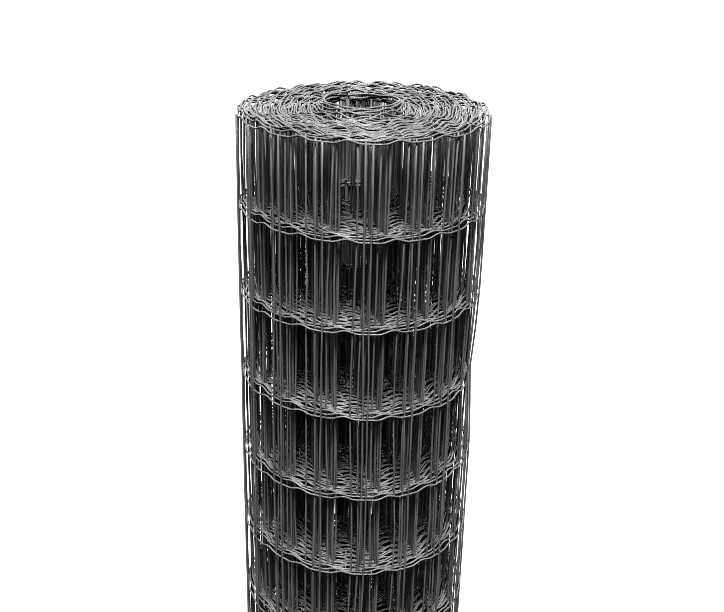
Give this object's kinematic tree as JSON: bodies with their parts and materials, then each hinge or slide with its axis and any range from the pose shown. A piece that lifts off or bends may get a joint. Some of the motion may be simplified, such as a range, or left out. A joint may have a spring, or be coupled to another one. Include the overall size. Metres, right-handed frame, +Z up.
{
  "type": "roll of welded wire fencing",
  "caption": "Upright hollow roll of welded steel mesh with crimped line wires and straight stay wires, coated dark grey, for unrolling as a fence.",
  "frame": {"origin": "middle of the roll's lower end, on the floor it stands on", "axes": "+Z up along the roll's axis, from the lower end to the upper end"},
  "size_m": [0.2751, 0.2752, 1.0164],
  "materials": {
    "coated_wire": "steel wire in a smooth satin dark grey plastic coating"
  },
  "bodies": {
    "root": {"mesh_roll": "coated_wire"}
  },
  "joints": []
}
